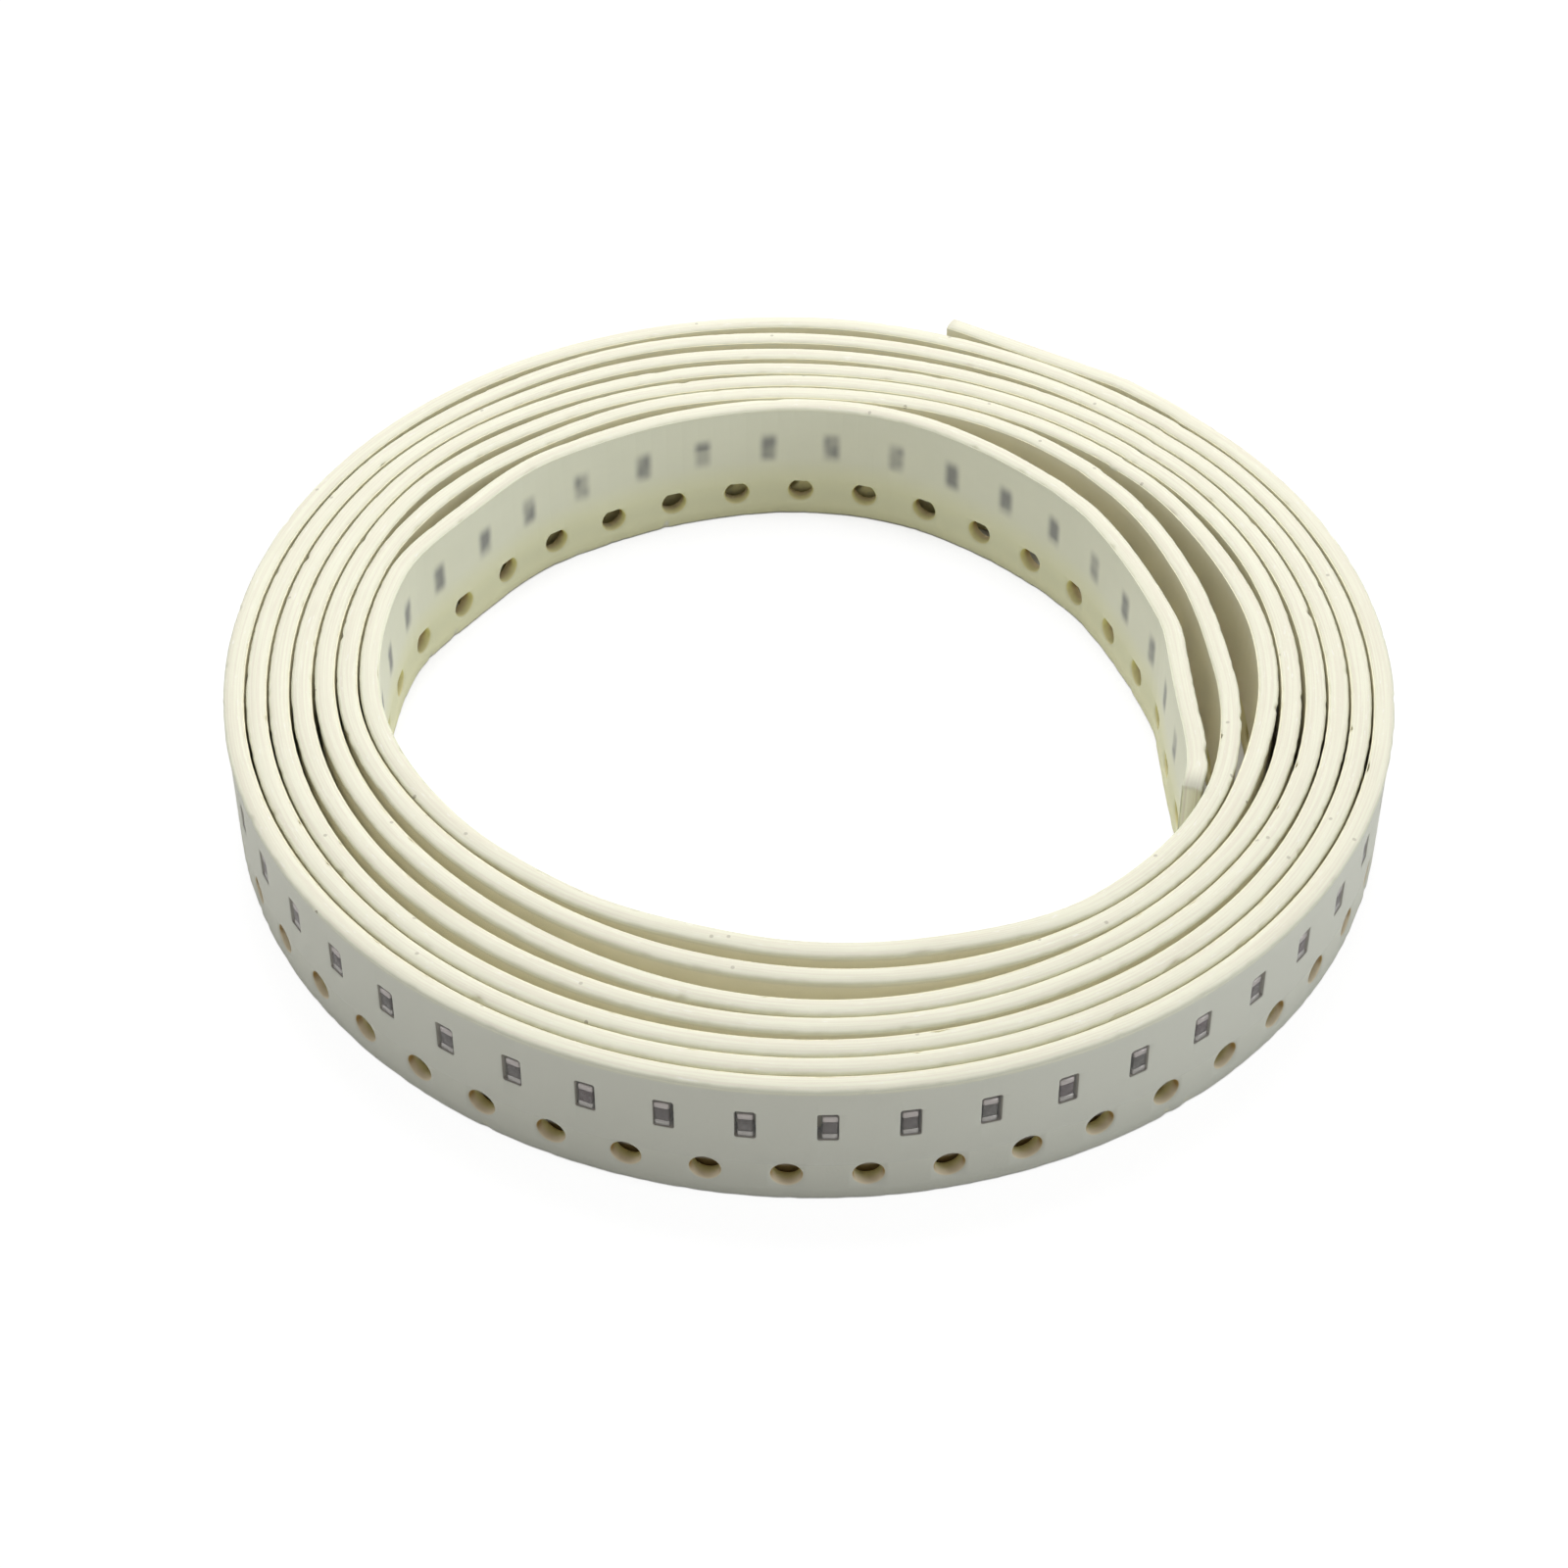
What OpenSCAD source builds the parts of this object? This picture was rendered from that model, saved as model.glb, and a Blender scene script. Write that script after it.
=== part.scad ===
// A cut length of punched 8 mm paper carrier tape, filled with chip capacitors, wound into a
// loose flat coil that stands on its sprocket-hole edge. Millimetres, +Z up. The origin is on
// the surface that the coil stands on, below the middle of its bounding box.

/* [Paper tape] */
// Width of the tape, which is the height of the standing coil
tape_width = 8; // [8:0.5:12]
// Thickness of the punched paper
paper_thick = 0.95; // [0.85:0.05:1]
// Distance from one sprocket hole to the next, and from one pocket to the next
hole_pitch = 4; // [4:0.5:8]
// Diameter of a sprocket hole
hole_d = 1.5; // [1.4:0.05:1.6]
// From the lower edge of the tape to the middle of the sprocket holes
hole_edge = 1.75; // [1.65:0.05:1.75]
// From the row of sprocket holes to the row of pockets
pocket_row = 3.5; // [3.4:0.05:3.6]
// Size of a pocket along the tape
pocket_w = 1.05; // [1:0.05:1.2]
// Size of a pocket across the tape
pocket_l = 1.85; // [1.7:0.05:2]

/* [Films] */
// Thickness of the clear cover film and of the backing film
film_thick = 0.06; // [0.03:0.01:0.08]
// Width of both films
film_width = 5.3; // [4.5:0.1:5.4]
// From the lower edge of the tape to the lower edge of the films
film_edge = 2.55; // [2.55:0.05:2.6]

/* [Chips] */
// Length of a chip, which stands across the tape
chip_l = 1.6; // [1.4:0.05:1.65]
// Width of a chip, along the tape
chip_w = 0.8; // [0.6:0.05:0.9]
// Height of a chip, through the tape
chip_h = 0.8; // [0.4:0.05:0.8]
// How far the metal at each end reaches along the chip
terminal_l = 0.4; // [0.2:0.05:0.5]
// How far that metal stands out from the ceramic
terminal_step = 0.03; // [0.02:0.01:0.05]

/* [Coil] */
// Radius to the middle of the paper in the outer turn, where it is smallest
coil_radius = 31.3; // [31:0.1:40]
// How far the tape winds round, in degrees
wind_total = 2622; // [1500:1:2622]
// Direction of the outer end, in degrees from +X
end_direction = 74; // [70:1:80]
// Distance from one turn to the next where they lie close
turn_pitch = 1.22; // [1.22:0.01:1.3]
// From the outer end to the first sprocket hole, along the tape
first_hole = 3.7; // [3.5:0.1:4.9]

/* [Hidden] */
$fn = 32;

// Where the outer turn bulges: [direction, spread in degrees, height]
BULGES = [[285, 90, 0.48], [205, 60, 0.1], [126, 62, 0.8]];
// Where a turn stands off the one inside it: [turn from outside, direction, spread, opening]
OPENINGS = [
    [0, 60, 26, 0.3], [0, 74, 18, 0.45], [0, 126, 22, 0.26], [0, 88, 34, 0.48],
    [1, 105, 35, 0.42], [1, 75, 30, 0.3],
    [2, 300, 45, 0.22], [2, 238, 55, 0.5], [2, 108, 30, 0.33], [2, 85, 20, 0.22],
    [3, 355, 30, 0.1], [3, 227, 50, 0.5], [3, 130, 20, 0.28], [3, 106, 18, 0.17],
    [4, 22, 20, 0.25], [4, 340, 18, 0.2], [4, 263, 50, 1], [4, 220, 35, 0.45],
    [4, 142, 20, 0.4], [4, 124, 18, 0.25],
    [5, 48, 26, 0.17], [5, 34, 28, 0.47], [5, 20, 28, 0.66], [5, 8, 24, 0.67],
    [5, 356, 24, 0.77], [5, 284, 24, 0.6], [5, 260, 24, 0.6], [5, 240, 26, 0.25],
    [5, 146, 18, 0.62], [5, 116, 26, 0.42],
    [6, 60, 26, 0.8], [6, 46, 28, 0.61], [6, 32, 28, 0.7], [6, 18, 28, 0.63],
    [6, 4, 26, 0.43], [6, 350, 20, 0.97]
];
// The first turn lies over the one inside it for this many degrees, and that one steps in here
overlap = 30;
step_middle = 364;
step_spread = 24;

// A smooth swell: 1 in its middle, 0 from spread degrees away
function swell(x, spread) = abs(x) < spread ? (1 + cos(180 * x / spread)) / 2 : 0;
// A smooth step from 0 to 1, over spread degrees to each side
function ease(x, spread) = abs(x) < spread ? (1 + sin(90 * x / spread)) / 2 : x < 0 ? 0 : 1;
function sum(v) = v * [for (x = v) 1];
function unit(v) = v / norm(v);

// Degrees wound, inward from the outer end, where a turn passes a direction
function wound(turn, direction) = 360 * turn + (end_direction - direction + 360) % 360;
function bulge(a) = sum([for (b = BULGES) b[2] * swell(a - wound(0, b[0]), b[1])]);
function opening(a) = sum([for (o = OPENINGS) o[3] * swell(a - wound(o[0], o[1]), o[2])]);

// Radius to the middle of the paper: one whole turn is given, and each other lies against it
function radius(a) =
    a < overlap ? radius(a + 360) + turn_pitch + opening(a)
    : a > overlap + 360 ? radius(a - 360) - turn_pitch - opening(a - 360)
    : coil_radius + bulge(a) - turn_pitch * ease(a - step_middle, step_spread);
function spiral(a) = radius(a) * [cos(end_direction - a), sin(end_direction - a)];

// [length along the tape, degrees wound], so that places on the tape are found by length
rough_step = 2;
rough = [for (a = [0:rough_step:wind_total]) spiral(a)];
run = [for (i = 0, s = 0; i < len(rough); s = s + norm(rough[min(i + 1, len(rough) - 1)] - rough[i]),
    i = i + 1) [s, i * rough_step]];
tape_length = run[len(run) - 1][0];

// The tape is flat across each hole and each pocket, and bends between them
flat = hole_pitch / 2;
first_bend = first_hole - 1.5 * flat;
flats = floor((tape_length - first_bend) / flat);

// Free of the coil, the outer end is straight as far as its third hole
straight = first_hole + 2 * hole_pitch;
leaving = spiral(lookup(straight, run));
function place(s) =
    s < straight ? leaving + (straight - s) * unit(spiral(0) - leaving) : spiral(lookup(s, run));

line = [for (s = [0, for (i = [0:flats]) first_bend + i * flat, tape_length]) place(s)];
last = len(line) - 1;
// Which way is out of the coil, at each bend
outward = [for (i = [0:last]) let (d = line[min(i + 1, last)] - line[max(i - 1, 0)]) unit([-d[1], d[0]])];
middle = let (x = [for (p = line) p[0]], y = [for (p = line) p[1]])
    [min(x) + max(x), min(y) + max(y)] / 2;

pocket_z = hole_edge + pocket_row;
// The punches stop short of the next turn
punch = paper_thick + 0.2;
// Chips stand on their pockets' lower edges
chip_z = pocket_z - pocket_l / 2 + chip_l / 2;
// How far a chip lies to one side or the other in its pocket
chip_play = 0.35 * (pocket_w - chip_w);

// A band along the coil, between two distances out from the middle of the paper
module band(inner, outer, height)
    linear_extrude(height)
        polygon([
            for (i = [0:last]) line[i] + inner * outward[i] - middle,
            for (i = [last:-1:0]) line[i] + outer * outward[i] - middle
        ]);

// Puts its children on every second flat, X along the tape and Y through it, each moved
// a little along the tape where play is given
module along_tape(first, play = 0)
    for (i = [first:2:flats - 1]) {
        from = line[i + 1];
        to = line[i + 2];
        translate((from + to) / 2 - middle)
            rotate(atan2(to[1] - from[1], to[0] - from[0]))
                translate([play * sin(137 * i), 0, 0])
                    children();
    }

// Punched paper: one long strip with a row of sprocket holes and a row of pockets
module carrier_tape()
    color("ivory")
        difference() {
            band(-paper_thick / 2, paper_thick / 2, tape_width);
            along_tape(first = 1)
                translate([0, 0, hole_edge])
                    rotate([90, 0, 0])
                        cylinder(h = punch, d = hole_d, center = true);
            along_tape(first = 0)
                translate([0, 0, pocket_z])
                    cube([pocket_w, punch, pocket_l], center = true);
        }

// Clear film sealed over the pockets, on the outside of the coil
module cover_tape()
    color("gainsboro", 0.4)
        translate([0, 0, film_edge])
            band(paper_thick / 2, paper_thick / 2 + film_thick, film_width);

// Milky film that closes the pockets on the inside of the coil
module backing_tape()
    color("lightgrey", 0.8)
        translate([0, 0, film_edge])
            band(-paper_thick / 2 - film_thick, -paper_thick / 2, film_width);

// Ceramic blocks, one chip to a pocket
module chip_bodies()
    color("dimgrey")
        along_tape(first = 0, play = chip_play)
            translate([0, 0, chip_z])
                cube([chip_w - 2 * terminal_step, chip_h - 2 * terminal_step, chip_l - 2 * terminal_l],
                    center = true);

// Plated metal at both ends of each chip
module chip_terminals()
    color("silver")
        along_tape(first = 0, play = chip_play)
            for (end = [-1, 1])
                translate([0, 0, chip_z + end * (chip_l - terminal_l) / 2])
                    cube([chip_w, chip_h, terminal_l], center = true);

carrier_tape();
cover_tape();
backing_tape();
chip_bodies();
chip_terminals();
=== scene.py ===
"""A loose flat coil of punched paper carrier tape with a chip capacitor in every pocket, standing
on its sprocket-hole edge. Each piece is made as a flat strip, in millimetres, and is then wound
into the coil, in metres. The studio is in metres."""

import math

import bmesh
import bpy
import numpy as np
from mathutils import Matrix, Vector, noise


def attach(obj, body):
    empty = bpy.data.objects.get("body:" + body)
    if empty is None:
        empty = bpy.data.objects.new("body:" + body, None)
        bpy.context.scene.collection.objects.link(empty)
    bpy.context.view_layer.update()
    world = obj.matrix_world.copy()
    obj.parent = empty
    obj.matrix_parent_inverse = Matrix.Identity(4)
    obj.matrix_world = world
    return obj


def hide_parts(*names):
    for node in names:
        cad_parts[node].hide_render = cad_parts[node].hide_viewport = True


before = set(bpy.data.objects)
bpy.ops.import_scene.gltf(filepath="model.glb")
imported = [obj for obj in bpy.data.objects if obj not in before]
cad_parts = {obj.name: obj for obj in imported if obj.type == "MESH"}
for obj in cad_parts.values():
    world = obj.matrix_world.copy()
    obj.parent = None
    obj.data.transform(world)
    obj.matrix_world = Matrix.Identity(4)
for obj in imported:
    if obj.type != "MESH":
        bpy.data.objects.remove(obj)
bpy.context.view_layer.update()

MM = 0.001
# Points closer than this, in millimetres, are at the same place
NEAR = 0.001

# Paper tape. Places along it are from its outer end, and places across it from its lower edge.
TAPE_WIDTH = 8.0
TAPE_LENGTH = 1252.3
PAPER = 0.95
PITCH = 4.0
HOLE_D = 1.5
HOLE_Z = 1.75
FIRST_HOLE = 3.7
POCKETS = 313
POCKET_W = 1.05
POCKET_L = 1.85
POCKET_Z = 5.25
FIRST_POCKET = 1.7

# One pitch of the tape has its pocket first and then its sprocket hole
AT_POCKET = PITCH / 4
AT_HOLE = 3 * PITCH / 4
FIRST_BEND = FIRST_POCKET - AT_POCKET

# Rounding of the punched and slit edges
POCKET_CORNER = 0.1
POCKET_LIP = 0.04
HOLE_LIP = 0.12
LOWER_EDGE = 0.12
UPPER_EDGE = 0.4
UPPER_STEPS = 3

# Up the rounding of the upper slit edge its two lips swell, by a share of their distance from the
# middle of the paper that grows to LIP_SWELL over LIP_RISE
LIP_SWELL = 0.5
LIP_RISE = 0.3

# Ragged slit edges. Within RAGGED of one, noise from -1 to 1 wears the paper in by WORN for each 1
# above WORN_FROM, and nicks it by NICKED for each 1 above NICKED_FROM, in full from STILL out from
# the middle of the paper. The upper edge rises and falls by BUMPS with the same noise, and by
# WAVES with a slower one. ALONG and THROUGH say how fine the noise is.
RAGGED = 0.2
WORN, WORN_FROM = 0.08, -0.1
NICKED, NICKED_FROM = 0.4, 0.4
STILL = 0.3
BUMPS = 0.035
ROUGH_ALONG, ROUGH_THROUGH = 1.7, 2
WAVES = 0.05
WAVES_ALONG = 0.045

# Films
FILM = 0.045
FILM_LIFT = 0.015
FILM_WIDTH = 5.3
FILM_Z = 2.55
FILM_ROWS = 3

# Chips: the ceramic reaches into the metal ends by half of SUNK at each end
CHIP_L = 1.6
CHIP_W = 0.8
CHIP_Z = 5.125
CERAMIC_W = 0.74
CERAMIC_EDGE = 0.04
TERMINAL_L = 0.4
TERMINAL_EDGE = 0.07
SUNK = 0.1
# How far a chip lies to one side in its pocket and how many degrees it leans, at most, and the
# degrees of a circle from one chip to the next by which both vary
CHIP_PLAY = 0.0875
CHIP_LEAN = 1.6
PLAY_STEP = 274
LEAN_STEP = 211

# Coil. Radius to the middle of the paper in the outer turn, where it is smallest
COIL_RADIUS = 31.3
# How far the tape winds round, in degrees
WIND_TOTAL = 2622
# Direction of the outer end, in degrees from +X
END_DIRECTION = 74
# Distance from one turn to the next where they lie close
TURN_PITCH = 1.22
# The first turn lies over the one inside it for these degrees, and that one steps in here
OVERLAP = 30
STEP_MIDDLE = 364
STEP_SPREAD = 24
# Length of the straight outer end
STRAIGHT = 11.7
# From the coil's centre to the middle of its bounding box
MIDDLE = np.array([-0.0321533, -0.0645987])
# Degrees between the points at which its radii, and then its lengths, are worked out
RADIUS_STEP = 0.5
LENGTH_STEP = 2.0
# Where the outer turn bulges: direction, spread in degrees, height
BULGES = [(285, 90, 0.48), (205, 60, 0.1), (126, 62, 0.8)]
# Where a turn stands off the one inside it: turn from outside, direction, spread, opening
OPENINGS = [
    (0, 60, 26, 0.3), (0, 74, 18, 0.45), (0, 126, 22, 0.26), (0, 88, 34, 0.48),
    (1, 105, 35, 0.42), (1, 75, 30, 0.3),
    (2, 300, 45, 0.22), (2, 238, 55, 0.5), (2, 108, 30, 0.33), (2, 85, 20, 0.22),
    (3, 355, 30, 0.1), (3, 227, 50, 0.5), (3, 130, 20, 0.28), (3, 106, 18, 0.17),
    (4, 22, 20, 0.25), (4, 340, 18, 0.2), (4, 263, 50, 1), (4, 220, 35, 0.45),
    (4, 142, 20, 0.4), (4, 124, 18, 0.25),
    (5, 48, 26, 0.17), (5, 34, 28, 0.47), (5, 20, 28, 0.66), (5, 8, 24, 0.67),
    (5, 356, 24, 0.77), (5, 284, 24, 0.6), (5, 260, 24, 0.6), (5, 240, 26, 0.25),
    (5, 146, 18, 0.62), (5, 116, 26, 0.42),
    (6, 60, 26, 0.8), (6, 46, 28, 0.61), (6, 32, 28, 0.7), (6, 18, 28, 0.63),
    (6, 4, 26, 0.43), (6, 350, 20, 0.97),
]


# ---- The coil's line ----

def swell(x, spread):
    """1 in its middle, 0 from spread degrees away."""
    return (1 + math.cos(math.pi * x / spread)) / 2 if abs(x) < spread else 0.0


def ease(x, spread):
    """From 0 to 1, over spread degrees to each side."""
    return (1 + math.sin(math.pi / 2 * max(-1.0, min(1.0, x / spread)))) / 2


def wound(turn, direction):
    """Degrees wound, inward from the outer end, where a turn passes a direction."""
    return 360 * turn + (END_DIRECTION - direction) % 360


def opening(a):
    """How far the turn at a stands off the one inside it, past where they lie close."""
    return sum(o * swell(a - wound(t, d), s) for t, d, s, o in OPENINGS)


def radius(a):
    """Radius to the middle of the paper: one turn is given, and each other lies against it."""
    if a < OVERLAP:
        return radius(a + 360) + TURN_PITCH + opening(a)
    if a > OVERLAP + 360:
        return radius(a - 360) - TURN_PITCH - opening(a - 360)
    bulge = sum(h * swell(a - wound(0, d), s) for d, s, h in BULGES)
    return COIL_RADIUS + bulge - TURN_PITCH * ease(a - STEP_MIDDLE, STEP_SPREAD)


TURNED = np.arange(0, WIND_TOTAL + RADIUS_STEP / 2, RADIUS_STEP)
RADII = np.array([radius(a) for a in TURNED])


def spiral(a):
    """Where the middle of the paper is when a degrees are wound, from the coil's centre."""
    r = np.interp(a, TURNED, RADII)
    t = np.radians(END_DIRECTION - a)
    return np.stack([r * np.cos(t), r * np.sin(t)], -1)


# The length of the tape up to each of these, and where its straight end leaves the coil, and
# which way
DEGREES = np.arange(0, WIND_TOTAL + LENGTH_STEP / 2, LENGTH_STEP)
STEPS = np.linalg.norm(np.diff(spiral(DEGREES), axis=0), axis=1)
LENGTHS = np.concatenate([[0], np.cumsum(STEPS)])
LEAVING = spiral(np.interp(STRAIGHT, LENGTHS, DEGREES))
AWAY = (spiral(0.0) - LEAVING) / np.linalg.norm(spiral(0.0) - LEAVING)


def place(s):
    """Where the middle of the paper is, at lengths s along the tape from its outer end."""
    s = np.asarray(s, float)
    on_coil = spiral(np.interp(s, LENGTHS, DEGREES))
    along = spiral(np.array(WIND_TOTAL)) - spiral(np.array(WIND_TOTAL - 1.0))
    past_end = np.maximum(s - LENGTHS[-1], 0)[..., None]
    on_coil = on_coil + past_end * along / np.linalg.norm(along)
    straight = LEAVING + (STRAIGHT - s)[..., None] * AWAY
    return np.where((s < STRAIGHT)[..., None], straight, on_coil) - MIDDLE


def wind(mesh):
    """Winds a flat strip into the coil. X runs along it, Y out of the coil and Z across it. The
    flat place of each point, in millimetres, is kept in the attribute "flat" for the materials."""
    flat = np.zeros(len(mesh.vertices) * 3)
    mesh.vertices.foreach_get("co", flat)
    kept = mesh.attributes.new("flat", "FLOAT_VECTOR", "POINT")
    kept.data.foreach_set("vector", flat.astype(np.float32))
    s, y, z = flat.reshape(-1, 3).T
    reach = PITCH / 10
    run = place(s + reach) - place(s - reach)
    out = np.stack([-run[:, 1], run[:, 0]], -1) / np.linalg.norm(run, axis=1)[:, None]
    here = place(s) + out * y[:, None]
    mesh.vertices.foreach_set("co", (np.column_stack([here, z]) * MM).ravel())
    mesh.update()


# ---- Making pieces ----

def grown_points(grown):
    """The points among what an operator has made."""
    return [v for v in grown["geom"] if isinstance(v, bmesh.types.BMVert)]


def sheet(length, height, middle, across=1, up=1):
    """A flat sheet that stands along X, of so many faces across and up."""
    bm = bmesh.new()
    bmesh.ops.create_grid(bm, x_segments=across, y_segments=up, size=0.5)
    bmesh.ops.scale(bm, vec=(length, height, 1), verts=bm.verts)
    bmesh.ops.rotate(bm, matrix=Matrix.Rotation(math.pi / 2, 3, "X"), verts=bm.verts)
    bmesh.ops.translate(bm, vec=middle, verts=bm.verts)
    return bm


def thicken(bm, thickness):
    """Makes a sheet solid, from its own place outward from the coil."""
    grown = bmesh.ops.extrude_face_region(bm, geom=bm.faces[:])
    bmesh.ops.translate(bm, vec=(0, thickness, 0), verts=grown_points(grown))
    bmesh.ops.recalc_face_normals(bm, faces=bm.faces)


def cut_across(bm, axis, places):
    """Cuts a flat sheet across at each place on the X or Z axis."""
    normal = Vector((1, 0, 0)) if axis == "X" else Vector((0, 0, 1))
    for p in places:
        everything = bm.verts[:] + bm.edges[:] + bm.faces[:]
        bmesh.ops.bisect_plane(bm, geom=everything, dist=1e-5, plane_co=normal * p,
                               plane_no=normal)


def soften(bm, edges, width, steps=1):
    """Rounds edges, in so many steps."""
    bmesh.ops.bevel(bm, geom=edges, offset=width, offset_type="OFFSET", segments=steps,
                    profile=0.5, affect="EDGES", material=-1, clamp_overlap=True)


def finished(bm, name):
    """A mesh from what has been made in bmesh."""
    mesh = bpy.data.meshes.new(name)
    bm.to_mesh(mesh)
    bm.free()
    return mesh


def repeated(bm):
    """One pitch of something repeated for every pocket, its neighbours joined where they touch."""
    mesh = finished(bm, "pitch")
    thing = bpy.data.objects.new("pitch", mesh)
    bpy.context.scene.collection.objects.link(thing)
    array = thing.modifiers.new("pitches", "ARRAY")
    array.use_relative_offset = False
    array.use_constant_offset = True
    array.constant_offset_displace = (PITCH, 0, 0)
    array.count = POCKETS
    array.use_merge_vertices = True
    array.merge_threshold = 1e-4
    ready = thing.evaluated_get(bpy.context.evaluated_depsgraph_get())
    result = bpy.data.meshes.new_from_object(ready)
    bpy.data.objects.remove(thing)
    bpy.data.meshes.remove(mesh)
    return result


def piece(name, mesh, node, finish):
    """Puts a wound mesh in the scene in place of its CAD node."""
    mesh.shade_smooth()
    mesh.name = name
    mesh.materials.clear()
    mesh.materials.append(finish)
    thing = bpy.data.objects.new(name, mesh)
    bpy.context.scene.collection.objects.link(thing)
    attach(thing, "root")
    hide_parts(node)
    return thing


# ---- Punched paper ----

def punch(bm):
    """Punches the pocket and then the sprocket hole in one pitch of a flat sheet."""
    sides = [AT_POCKET - POCKET_W / 2, AT_POCKET + POCKET_W / 2]
    ends = [POCKET_Z - POCKET_L / 2, POCKET_Z + POCKET_L / 2]
    # A square of paper round the sprocket hole, cut in five strips each way, gives it 20 sides
    half_square = 0.98
    low, high = HOLE_Z - half_square, HOLE_Z + half_square
    strips = 5
    cut_across(bm, "X", sides + [PITCH / 2 * (1 + i / strips) for i in range(strips)])
    cut_across(bm, "Z", [HOLE_Z + half_square * i / strips for i in range(-strips, strips + 1, 2)])
    cut_across(bm, "Z", ends)

    def within(face, x0, x1, z0, z1):
        c = face.calc_center_median()
        return x0 < c.x < x1 and z0 < c.z < z1

    pocket = [f for f in bm.faces if within(f, *sides, *ends)]
    bmesh.ops.delete(bm, geom=pocket, context="FACES")

    # The square becomes one face. The face inset in it is pulled into a circle and taken out.
    square = [f for f in bm.faces if within(f, PITCH / 2, PITCH, low, high)]
    hole = bmesh.ops.dissolve_faces(bm, faces=square)["region"][0]
    bmesh.ops.inset_region(bm, faces=[hole], thickness=0.1, use_boundary=True)
    middle = Vector((AT_HOLE, -PAPER / 2, HOLE_Z))
    count = len(hole.verts)
    corner = math.pi / 4
    for v in hole.verts:
        turn = math.atan2(v.co.z - middle.z, v.co.x - middle.x) - corner
        turn = corner + round(turn * count / math.tau) * math.tau / count
        v.co = middle + Vector((math.cos(turn), 0, math.sin(turn))) * HOLE_D / 2
    bmesh.ops.delete(bm, geom=[hole], context="FACES_ONLY")


def edges_at(bm, in_faces, test):
    """The edges whose two points pass a test: those that lie in the paper's two broad faces, or
    those that run through it from one to the other."""
    def in_face(e):
        a, b = (v.co.y for v in e.verts)
        return all(abs(abs(y) - PAPER / 2) < NEAR for y in (a, b)) and a * b > 0

    return [e for e in bm.edges if in_face(e) == in_faces and all(test(v.co) for v in e.verts)]


def pocket_corner(p):
    return (abs(abs(p.x - AT_POCKET) - POCKET_W / 2) < NEAR
            and abs(abs(p.z - POCKET_Z) - POCKET_L / 2) < NEAR)


def pocket_lip(p):
    return (abs(p.x - AT_POCKET) < POCKET_W / 2 + NEAR
            and abs(p.z - POCKET_Z) < POCKET_L / 2 + NEAR)


def hole_lip(p):
    return abs(math.hypot(p.x - AT_HOLE, p.z - HOLE_Z) - HOLE_D / 2) < NEAR


def upper_edge(p):
    return p.z > TAPE_WIDTH - NEAR


def lower_edge(p):
    return p.z < NEAR


def punched_pitch():
    """One flat pitch of paper with its pocket, then its sprocket hole, open at its two ends."""
    bm = sheet(PITCH, TAPE_WIDTH, (PITCH / 2, -PAPER / 2, TAPE_WIDTH / 2))
    punch(bm)
    thicken(bm, PAPER)
    soften(bm, edges_at(bm, False, pocket_corner), POCKET_CORNER)
    soften(bm, edges_at(bm, True, pocket_lip), POCKET_LIP)
    soften(bm, edges_at(bm, True, hole_lip), HOLE_LIP)
    soften(bm, edges_at(bm, True, upper_edge), UPPER_EDGE, UPPER_STEPS)
    soften(bm, edges_at(bm, True, lower_edge), LOWER_EDGE)
    ends = [f for f in bm.faces if all(v.co.x < NEAR for v in f.verts)
            or all(v.co.x > PITCH - NEAR for v in f.verts)]
    bmesh.ops.delete(bm, geom=ends, context="FACES_ONLY")
    return bm


def carry_on(bm, start, end):
    """Carries a strip on, plain, from where it is open at start, and closes it at its end."""
    rim = [e for e in bm.edges if len(e.link_faces) == 1
           and all(abs(v.co.x - start) < NEAR for v in e.verts)]
    grown = bmesh.ops.extrude_edge_only(bm, edges=rim)
    bmesh.ops.translate(bm, vec=(end - start, 0, 0), verts=grown_points(grown))
    tip = [e for e in bm.edges if e.is_boundary
           and all(abs(v.co.x - end) < NEAR for v in e.verts)]
    bmesh.ops.holes_fill(bm, edges=tip, sides=0)


def wear(bm):
    """Swells the lips of the upper slit edge, and makes both slit edges ragged."""
    for v in bm.verts:
        rise = (v.co.z - TAPE_WIDTH + UPPER_EDGE) / LIP_RISE
        v.co.y *= 1 + LIP_SWELL * max(0.0, min(1.0, rise))
        s, y, z = v.co
        rough = noise.noise(Vector((s * ROUGH_ALONG, y * ROUGH_THROUGH, z)))
        upper = z > TAPE_WIDTH - RAGGED
        if upper or z < RAGGED:
            inward = WORN * max(0.0, rough - WORN_FROM) + NICKED * max(0.0, rough - NICKED_FROM)
            v.co.y -= math.copysign(inward, y) * min(1.0, abs(y) / STILL)
        if upper:
            # Any Y that the other noise doesn't reach will do
            slow = noise.noise(Vector((s * WAVES_ALONG, 3, 0)))
            v.co.z += BUMPS * rough + WAVES * slow


def carrier_tape(finish):
    """The whole strip, with its plain ends, worn along its slit edges, then wound."""
    mesh = repeated(punched_pitch())
    bm = bmesh.new()
    bm.from_mesh(mesh)
    bpy.data.meshes.remove(mesh)
    bmesh.ops.translate(bm, vec=(FIRST_BEND, 0, 0), verts=bm.verts)
    # The last pitch ends with its pocket
    last_bend = FIRST_BEND + PITCH * (POCKETS - 1) + PITCH / 2
    beyond = [f for f in bm.faces if f.calc_center_median().x > last_bend]
    bmesh.ops.delete(bm, geom=beyond, context="FACES")
    carry_on(bm, FIRST_BEND, 0)
    carry_on(bm, last_bend, TAPE_LENGTH)
    bmesh.ops.recalc_face_normals(bm, faces=bm.faces)
    wear(bm)
    mesh = finished(bm, "carrier_tape")
    wind(mesh)
    return piece("paper_tape", mesh, "carrier_tape", finish)


# ---- Films ----

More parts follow.
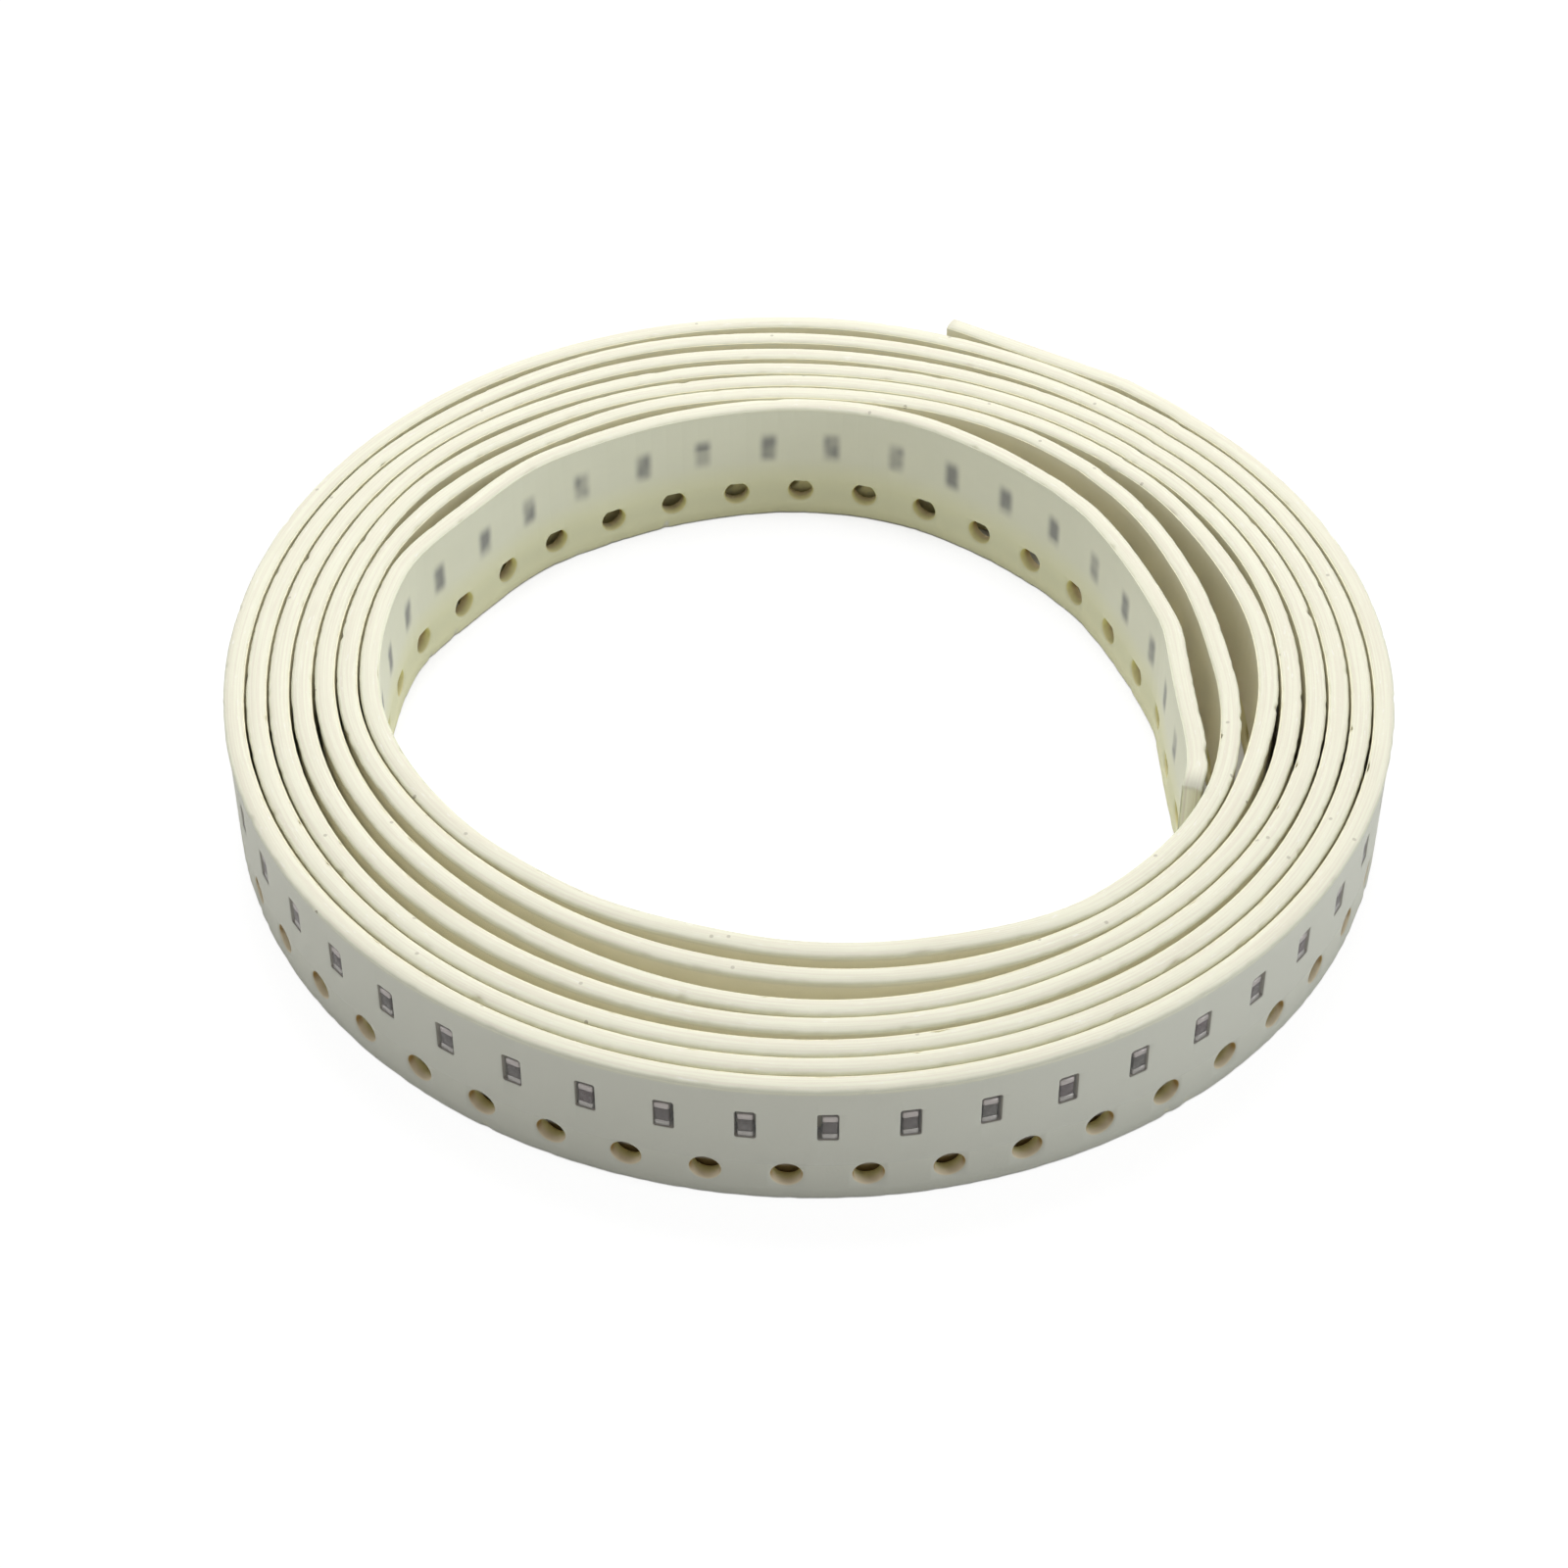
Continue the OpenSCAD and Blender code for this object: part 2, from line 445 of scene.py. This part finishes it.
def film(name, inner, node, finish):
    """A film along the whole tape, its inner face so far out from the middle of the paper."""
    middle = (TAPE_LENGTH / 2, inner, FILM_Z + FILM_WIDTH / 2)
    # One face to about each millimetre of the tape
    bm = sheet(TAPE_LENGTH, FILM_WIDTH, middle, int(TAPE_LENGTH), FILM_ROWS)
    thicken(bm, FILM)
    mesh = finished(bm, name)
    wind(mesh)
    thing = piece(name, mesh, node, finish)
    # Smooth shading would round off its thin edges
    mesh.shade_flat()
    return thing


def cover_tape(finish):
    """The clear film, outside the paper."""
    return film("cover_film", PAPER / 2 + FILM_LIFT, "cover_tape", finish)


def backing_tape(finish):
    """The milky film, inside the paper."""
    return film("backing_film", -PAPER / 2 - FILM_LIFT - FILM, "backing_tape",
                finish)


# ---- Chips ----

def chip_part(width, length, z, rounding):
    """A block of a chip, its edges rounded, in the first pocket."""
    bm = bmesh.new()
    bmesh.ops.create_cube(bm, size=1)
    bmesh.ops.scale(bm, vec=(width, width, length), verts=bm.verts)
    soften(bm, bm.edges[:], rounding)
    bmesh.ops.translate(bm, vec=(FIRST_POCKET, 0, z), verts=bm.verts)
    return bm


def set_in_pockets(mesh):
    """Lets each chip lie a little to one side or the other in its pocket, and lean a little."""
    for v in mesh.vertices:
        i = round((v.co.x - FIRST_POCKET) / PITCH)
        lean = math.radians(CHIP_LEAN) * math.sin(math.radians(LEAN_STEP * i))
        dx = v.co.x - FIRST_POCKET - PITCH * i
        dz = v.co.z - (CHIP_Z - CHIP_L / 2)
        v.co.x += CHIP_PLAY * math.sin(math.radians(PLAY_STEP * i)) + dz * lean
        v.co.z -= dx * lean
    wind(mesh)


def chip_bodies(finish):
    """The ceramic of every chip."""
    bm = chip_part(CERAMIC_W, CHIP_L - 2 * TERMINAL_L + SUNK, CHIP_Z, CERAMIC_EDGE)
    mesh = repeated(bm)
    set_in_pockets(mesh)
    return piece("ceramic_blocks", mesh, "chip_bodies", finish)


def chip_terminals(finish):
    """The two metal ends of every chip."""
    bm = chip_part(CHIP_W, TERMINAL_L, CHIP_Z + (CHIP_L - TERMINAL_L) / 2, TERMINAL_EDGE)
    other = bmesh.ops.duplicate(bm, geom=bm.faces[:])
    bmesh.ops.translate(bm, vec=(0, 0, TERMINAL_L - CHIP_L), verts=grown_points(other))
    mesh = repeated(bm)
    set_in_pockets(mesh)
    return piece("tinned_ends", mesh, "chip_terminals", finish)


# ---- Finishes ----

# Colours, of linear light. A pair runs from its first colour to its second.
BOARD = (0.87, 0.855, 0.67), (0.91, 0.90, 0.73)
PLY = (0.80, 0.74, 0.60)
FIBRE = (0.97, 0.95, 0.88)
DIRT = (0.30, 0.25, 0.18)
OUTER_FACE = (0.75, 0.745, 0.645)
# The inner face's colour, with painted light on its lower part
INNER_FACE_WITH_PAINTED_LIGHT = (0.86, 0.85, 0.60), (0.97, 0.95, 0.67)
# Painted shade on outer faces that another turn covers: dark brown low down, pale higher up
PAINTED_SHADE_OUTER = (0.50, 0.38, 0.17), (0.98, 0.93, 0.72)
# Painted warm bounce light on inner faces that another turn covers
PAINTED_BOUNCE_INNER = (0.98, 0.93, 0.56)
# Painted highlight on the upper slit edge
UPPER_SLIT_HIGHLIGHT = (0.93, 0.91, 0.76)
# In the sprocket holes, towards the coil's inside and then its outside: painted shade in their
# upper parts and painted light on their lower lips
HOLE_SHADE_AND_LIGHT_INSIDE = (0.82, 0.77, 0.34), (0.96, 0.90, 0.52)
HOLE_SHADE_AND_LIGHT_OUTSIDE = (0.42, 0.26, 0.075), (0.92, 0.80, 0.58)
# Painted shade on the pocket walls
POCKET_SHADE = (0.24, 0.20, 0.16)
CLEAR = (0.93, 0.93, 0.9)
MILK = (0.82, 0.82, 0.655), (0.87, 0.865, 0.70)
LOW_MILK = (0.86, 0.85, 0.60)
CHIP_SHADOW = (0.20, 0.20, 0.20)
# Painted warm bounce light on the milky film where another turn covers it
PAINTED_BOUNCE_MILK = (0.98, 0.93, 0.70)
CERAMIC = (0.045, 0.038, 0.029), (0.066, 0.032, 0.037)
CERAMIC_SPECK = (0.12, 0.10, 0.095)
TIN = (0.34, 0.305, 0.29), (0.45, 0.405, 0.385)
# Painted shade on the lower tin ends
SHADED_LOWER_TIN = (0.34, 0.32, 0.30)

# Along the tape: past the first pair the outer face is covered by another turn, and up to the
# second pair the inner face is
# On these covered faces lie painted shade and painted bounce light
COVERED_FROM = 197, 203
COVERED_TO = 1109, 1104


class Finish:
    """A material and short ways to add and join its nodes."""

    def __init__(self, name):
        self.material = bpy.data.materials.new(name)
        self.material.use_nodes = True
        self.tree = self.material.node_tree
        self.shader = self.tree.nodes["Principled BSDF"]

    def join(self, value, socket):
        """Links a socket to another one, or sets it to a value."""
        if isinstance(value, bpy.types.NodeSocket):
            self.tree.links.new(value, socket)
        elif value is not None:
            socket.default_value = value

    def set(self, **values):
        """Sets the shader's inputs, named with underlines for spaces."""
        for name, value in values.items():
            self.join(value, self.shader.inputs[name.replace("_", " ")])

    def maths(self, operation, a, b=None, c=None):
        node = self.tree.nodes.new("ShaderNodeMath")
        node.operation = operation
        for value, socket in zip((a, b, c), node.inputs):
            self.join(value, socket)
        return node.outputs[0]

    def times(self, first, *others):
        """The product of all its values."""
        for other in others:
            first = self.maths("MULTIPLY", first, other)
        return first

    def between(self, value, low, high):
        """0 up to low, 1 from high, smooth between. Low may be the larger one."""
        node = self.tree.nodes.new("ShaderNodeMapRange")
        node.interpolation_type = "SMOOTHSTEP"
        turned = low > high
        self.join(value, node.inputs["Value"])
        node.inputs["From Min"].default_value = min(low, high)
        node.inputs["From Max"].default_value = max(low, high)
        node.inputs["To Min"].default_value = 1.0 if turned else 0.0
        node.inputs["To Max"].default_value = 0.0 if turned else 1.0
        return node.outputs["Result"]

    def about(self, value, middle, full, none):
        """1 up to full away from the middle, 0 from none away from it, smooth between."""
        away = self.maths("ABSOLUTE", self.maths("SUBTRACT", value, middle))
        return self.between(away, none, full)

    def colour(self, share, a, b):
        """The first colour, with a share of the second one."""
        node = self.tree.nodes.new("ShaderNodeMix")
        node.data_type = "RGBA"
        self.join(share, node.inputs["Factor"])
        for value, socket in ((a, node.inputs[6]), (b, node.inputs[7])):
            self.join(value if isinstance(value, bpy.types.NodeSocket) else (*value, 1.0), socket)
        return node.outputs[2]

    def flat(self, stretch=(1, 1, 1)):
        """The unwound place on the tape, in millimetres, stretched for a pattern."""
        node = self.tree.nodes.new("ShaderNodeAttribute")
        node.attribute_name = "flat"
        scale = self.tree.nodes.new("ShaderNodeVectorMath")
        scale.operation = "MULTIPLY"
        self.tree.links.new(node.outputs["Vector"], scale.inputs[0])
        scale.inputs[1].default_value = stretch
        return scale.outputs[0]

    def parts(self, vector):
        """The three parts of a vector: for a flat place, along, out of and across the tape."""
        node = self.tree.nodes.new("ShaderNodeSeparateXYZ")
        self.tree.links.new(vector, node.inputs[0])
        return node.outputs

    def grain(self, stretch, detail=2.0, rough=0.5):
        """Noise from 0 to 1 over the unwound tape, finer where the stretch is larger."""
        node = self.tree.nodes.new("ShaderNodeTexNoise")
        self.tree.links.new(self.flat(stretch), node.inputs["Vector"])
        node.inputs["Scale"].default_value = 1.0
        node.inputs["Detail"].default_value = detail
        node.inputs["Roughness"].default_value = rough
        return node.outputs["Fac"]

    def specks(self, stretch, size):
        """Round spots over the unwound tape: 1 inside them. Few cells of the pattern have one."""
        node = self.tree.nodes.new("ShaderNodeTexVoronoi")
        node.voronoi_dimensions = "2D"
        self.tree.links.new(self.flat(stretch), node.inputs["Vector"])
        node.inputs["Scale"].default_value = 1.0
        few = self.between(self.parts(node.outputs["Color"])[0], 0.70, 0.71)
        return self.times(few, self.between(node.outputs["Distance"], size, size * 0.6))

    def chance(self, value):
        """A number from 0 to 1 for each whole number."""
        node = self.tree.nodes.new("ShaderNodeTexWhiteNoise")
        node.noise_dimensions = "1D"
        self.join(value, node.inputs["W"])
        return node.outputs["Value"]

    def nearest(self, s, first):
        """The number of the nearest pocket or hole, from the first one along the tape."""
        return self.maths("ROUND", self.maths("DIVIDE", self.maths("SUBTRACT", s, first), PITCH))

    def from_nearest(self, s, first):
        """How far along the tape from the middle of the nearest pocket or hole."""
        middle = self.maths("MULTIPLY_ADD", self.nearest(s, first), PITCH, first)
        return self.maths("SUBTRACT", s, middle)

    def relief(self, height, depth, strength):
        """Bumps of a depth in millimetres."""
        node = self.tree.nodes.new("ShaderNodeBump")
        node.inputs["Strength"].default_value = strength
        node.inputs["Distance"].default_value = depth * MM
        self.tree.links.new(height, node.inputs["Height"])
        self.tree.links.new(node.outputs["Normal"], self.shader.inputs["Normal"])


def board(m, y, z):
    """Cream board, mottled, with plies and fibres in its slit edges and specks along the top."""
    colour = m.colour(m.grain((0.35, 1, 0.5), 3.0), *BOARD)
    # The slit edges are what lies between the two broad faces
    slit = m.about(y, 0, 0.40, 0.46)
    plies = m.between(m.grain((0.12, 9, 0.02), 3.0, 0.6), 0.62, 0.36)
    colour = m.colour(m.times(slit, plies), colour, PLY)
    fibres = m.between(m.grain((1.3, 7, 1.3), 4.0, 0.65), 0.60, 0.72)
    colour = m.colour(m.times(slit, fibres), colour, FIBRE)
    dirt = m.times(m.specks((0.25, 0.25, 0.25), 0.032), m.between(z, 7.7, 7.8), 0.7)
    return m.colour(dirt, colour, DIRT)


def broad_faces(m, s, y, z, colour):
    """The inner face is yellower than the outer one and painted lighter low down. Where another
    turn covers them, the outer face gets painted shade, deeper low down, and the inner face painted
    warm bounce light. The upper slit edge gets a painted highlight."""
    # The broad faces end where the upper edge is rounded
    below = m.between(z, 7.75, 7.45)
    outer = m.times(m.between(y, 0.38, 0.46), below)
    inner = m.times(m.between(y, -0.38, -0.46), below)
    colour = m.colour(outer, colour, OUTER_FACE)
    # Painted light on the lower part of the inner face
    colour = m.colour(inner, colour, m.colour(m.between(z, 1.8, 0.2), *INNER_FACE_WITH_PAINTED_LIGHT))
    # Painted shade on outer faces that another turn covers, deeper low down
    painted_turn_shade = m.colour(m.between(z, 2.4, 4.0), *PAINTED_SHADE_OUTER)
    colour = m.colour(m.times(outer, m.between(s, *COVERED_FROM)), colour, painted_turn_shade)
    # Painted warm bounce light on inner faces that another turn covers
    colour = m.colour(m.times(inner, m.between(s, *COVERED_TO)), colour, PAINTED_BOUNCE_INNER)
    # Painted highlight on the upper slit edge
    return m.colour(m.times(m.between(z, 7.80, 7.95), 0.4), colour, UPPER_SLIT_HIGHLIGHT)


def cut_walls(m, s, y, z, colour):
    """Inside the sprocket holes the cut paper gets painted shade in its upper part and painted
    light on its lower lip, yellow towards the coil's inside and brown towards its outside. Inside
    the pockets it gets painted dark shade."""
    along = m.from_nearest(s, FIRST_HOLE)
    up = m.maths("SUBTRACT", z, HOLE_Z)
    distance = m.maths("SQRT", m.maths("ADD", m.times(along, along), m.times(up, up)))
    # No hole is cut through the tape's two end faces
    painted_wall = m.times(m.between(distance, HOLE_D / 2 + 0.09, HOLE_D / 2 + 0.02),
                   m.about(y, 0, 0.38, PAPER / 2),
                   m.between(s, 1.5, 2.0), m.between(s, TAPE_LENGTH - 2.0, TAPE_LENGTH - 2.5))
    # Painted light on each hole's lower lip and painted shade in its upper part
    lit = m.between(up, 0.15, -0.55)
    cut = m.colour(m.between(y, -0.2, 0.2), m.colour(lit, *HOLE_SHADE_AND_LIGHT_INSIDE), m.colour(lit, *HOLE_SHADE_AND_LIGHT_OUTSIDE))
    colour = m.colour(painted_wall, colour, cut)
    # Painted shade on the walls inside each pocket
    along = m.from_nearest(s, FIRST_POCKET)
    painted_wall = m.times(m.about(along, 0, POCKET_W / 2 - 0.01, POCKET_W / 2 + 0.02),
                   m.about(z, POCKET_Z, POCKET_L / 2 - 0.005, POCKET_L / 2 + 0.025),
                   m.about(y, 0, 0.42, PAPER / 2))
    return m.colour(painted_wall, colour, POCKET_SHADE)


def punched_paper():
    """Matte paper, faintly pitted."""
    m = Finish("punched_paper")
    s, y, z = m.parts(m.flat())
    colour = cut_walls(m, s, y, z, broad_faces(m, s, y, z, board(m, y, z)))
    m.set(Base_Color=colour, Roughness=0.82, Specular_IOR_Level=0.25)
    m.relief(m.grain((2.2, 3, 3.2), 4.0, 0.6), 0.03, 0.6)
    return m.material


def clear_film():
    """Thin clear film with faint ripples."""
    m = Finish("clear_film")
    m.set(Base_Color=(*CLEAR, 1), Roughness=0.25, Alpha=0.06, Specular_IOR_Level=0.3)
    m.relief(m.grain((0.25, 1, 0.9)), 0.02, 0.4)
    return m.material


def milky_film():
    """Milky film: the chips behind it are painted on as soft grey shadows, no two quite alike."""
    m = Finish("milky_film")
    s, _, z = m.parts(m.flat())
    # Each shadow is a little to one side of its pocket
    luck = m.chance(m.nearest(s, FIRST_POCKET))
    side = m.maths("MULTIPLY_ADD", luck, 0.24, -0.12)
    wide = m.about(m.from_nearest(s, FIRST_POCKET), side, 0.16, 0.74)
    tall = m.about(z, CHIP_Z, 0.4, 1.3)
    cloud = m.between(m.grain((0.7, 1, 1.0), 0.0), 0.25, 0.65)
    uneven = m.maths("MULTIPLY_ADD", cloud, 0.45, 0.55)
    colour = m.colour(m.grain((0.3, 1, 0.6), 3.0), *MILK)
    colour = m.colour(m.between(z, 4.6, 2.5), colour, LOW_MILK)
    colour = m.colour(m.times(wide, tall, uneven, 0.85), colour, CHIP_SHADOW)
    # Painted warm bounce light where another turn covers the film
    colour = m.colour(m.between(s, *COVERED_TO), colour, PAINTED_BOUNCE_MILK)
    m.set(Base_Color=colour, Roughness=0.55, Specular_IOR_Level=0.3)
    m.relief(m.grain((0.6, 1, 1.2), 3.0), 0.02, 0.4)
    return m.material


def chip_ceramic():
    """Fired ceramic, from grey-brown to plum from one chip to the next."""
    m = Finish("chip_ceramic")
    s = m.parts(m.flat())[0]
    speck = m.grain((9, 9, 9))
    colour = m.colour(m.chance(m.nearest(s, FIRST_POCKET)), *CERAMIC)
    colour = m.colour(m.between(speck, 0.5, 0.75), colour, CERAMIC_SPECK)
    m.set(Base_Color=colour, Roughness=0.42)
    m.relief(speck, 0.01, 0.4)
    return m.material


def tinned_ends():
    """Matte tin plating, with painted shade darkening the lower ends."""
    m = Finish("tinned_ends")
    z = m.parts(m.flat())[2]
    grain = m.grain((14, 14, 14), 3.0)
    # Painted shade on the lower ends
    lower = m.between(z, CHIP_Z + 0.1, CHIP_Z - 0.1)
    m.set(Base_Color=m.colour(lower, m.colour(grain, *TIN), SHADED_LOWER_TIN), Roughness=0.42,
          Metallic=0.7)
    m.relief(grain, 0.008, 0.5)
    return m.material


# ---- Studio, in metres ----

# The floor: half its width, how far it is below the coil, and its colour
FLOOR_HALF = 2.0
FLOOR_DROP = 0.00002
FLOOR_COLOUR = (0.75, 0.75, 0.73, 1)
# Its glow, how much of it shows, and how open to the sky the floor is where none and all of it
# does, as measured within a short distance. The shadow close to the coil stays.
GLOW = 1.16
GLOW_SHARE = 0.8
GLOW_OPEN = 0.22, 0.48
GLOW_REACH = 0.012

# Lamps: name, direction and height in degrees, distance, size, power in watts, colour
COOL = (0.86, 0.93, 1)
LAMPS = [
    ("top_lamp", 90, 64, 0.32, 0.16, 0.78, (1, 1, 1)),
    ("right_lamp", 340, 14, 0.6, 0.25, 0.72, COOL),
    ("left_lamp", 192, 14, 0.6, 0.25, 0.31, COOL),
]
# The sky's light on the coil, while it is seen as white
SKY = 0.31

# Camera: degrees down, distance to where it aims on the floor, and its lens in millimetres
CAMERA_DOWN = 42.72
CAMERA_DISTANCE = 0.191755
CAMERA_AIM = (-0.001319, -0.001836, 0)
SENSOR = 36
FOCAL_LENGTH = 78.496875


def node_maths(tree, operation, a, b):
    """The result of a sum on two sockets, of which the second may be a number."""
    node = tree.nodes.new("ShaderNodeMath")
    node.operation = operation
    tree.links.new(a, node.inputs[0])
    if isinstance(b, bpy.types.NodeSocket):
        tree.links.new(b, node.inputs[1])
    else:
        node.inputs[1].default_value = b
    return node.outputs[0]


def seen_rays(tree):
    """1 for what is seen, straight or by way of gloss or glass, and 0 for what only lights."""
    path = tree.nodes.new("ShaderNodeLightPath").outputs
    either = node_maths(tree, "MAXIMUM", path["Is Camera Ray"], path["Is Transmission Ray"])
    return node_maths(tree, "MAXIMUM", either, path["Is Glossy Ray"])


def white_floor():
    """Glows where it is seen and open to the sky, so it is white and keeps the coil's shadow."""
    material = bpy.data.materials.new("white_floor")
    material.use_nodes = True
    tree = material.node_tree
    shader = tree.nodes["Principled BSDF"]
    shader.inputs["Base Color"].default_value = FLOOR_COLOUR
    shader.inputs["Roughness"].default_value = 1.0
    shader.inputs["Specular IOR Level"].default_value = 0.0
    glow = tree.nodes.new("ShaderNodeEmission")
    glow.inputs["Strength"].default_value = GLOW
    near = tree.nodes.new("ShaderNodeAmbientOcclusion")
    near.inputs["Distance"].default_value = GLOW_REACH
    openness = tree.nodes.new("ShaderNodeMapRange")
    openness.interpolation_type = "SMOOTHSTEP"
    openness.inputs["From Min"].default_value = GLOW_OPEN[0]
    openness.inputs["From Max"].default_value = GLOW_OPEN[1]
    tree.links.new(near.outputs["AO"], openness.inputs["Value"])
    share = node_maths(tree, "MULTIPLY", seen_rays(tree), GLOW_SHARE)
    mix = tree.nodes.new("ShaderNodeMixShader")
    tree.links.new(node_maths(tree, "MULTIPLY", share, openness.outputs["Result"]), mix.inputs[0])
    tree.links.new(shader.outputs[0], mix.inputs[1])
    tree.links.new(glow.outputs[0], mix.inputs[2])
    tree.links.new(mix.outputs[0], tree.nodes["Material Output"].inputs["Surface"])
    return material


def floor():
    """A plain flat floor."""
    bm = bmesh.new()
    bmesh.ops.create_grid(bm, x_segments=1, y_segments=1, size=FLOOR_HALF)
    bmesh.ops.translate(bm, vec=(0, 0, -FLOOR_DROP), verts=bm.verts)
    mesh = finished(bm, "floor")
    mesh.materials.append(white_floor())
    thing = bpy.data.objects.new("floor", mesh)
    bpy.context.scene.collection.objects.link(thing)


def lamp(name, direction, height, distance, size, power, colour):
    """A square soft lamp that faces the coil."""
    a, h = math.radians(direction), math.radians(height)
    at = Vector((math.cos(a) * math.cos(h), math.sin(a) * math.cos(h), math.sin(h))) * distance
    light = bpy.data.lights.new(name, "AREA")
    light.shape = "SQUARE"
    light.size = size
    light.energy = power
    light.color = colour
    thing = bpy.data.objects.new(name, light)
    thing.location = at
    thing.rotation_euler = at.to_track_quat("Z", "Y").to_euler()
    bpy.context.scene.collection.objects.link(thing)


def sky():
    """A white sky that gives less light than it shows."""
    world = bpy.data.worlds.new("studio")
    world.use_nodes = True
    tree = world.node_tree
    back = tree.nodes["Background"]
    back.inputs["Color"].default_value = (1, 1, 1, 1)
    level = tree.nodes.new("ShaderNodeMapRange")
    level.inputs["To Min"].default_value = SKY
    level.inputs["To Max"].default_value = 1.0
    tree.links.new(seen_rays(tree), level.inputs["Value"])
    tree.links.new(level.outputs["Result"], back.inputs["Strength"])
    bpy.context.scene.world = world
    bpy.context.scene.view_settings.view_transform = "Standard"


def camera():
    """Looks along Y and down at the coil."""
    down = math.radians(CAMERA_DOWN)
    lens = bpy.data.cameras.new("camera")
    lens.sensor_width = SENSOR
    lens.lens = FOCAL_LENGTH
    lens.clip_start = 0.005
    lens.clip_end = 10
    thing = bpy.data.objects.new("camera", lens)
    back = Vector((0, -math.cos(down), math.sin(down)))
    thing.location = Vector(CAMERA_AIM) + back * CAMERA_DISTANCE
    thing.rotation_euler = (math.pi / 2 - down, 0, 0)
    bpy.context.scene.collection.objects.link(thing)
    bpy.context.scene.camera = thing


camera()
floor()
for each in LAMPS:
    lamp(*each)
sky()

carrier_tape(punched_paper())
cover_tape(clear_film())
backing_tape(milky_film())
chip_bodies(chip_ceramic())
chip_terminals(tinned_ends())
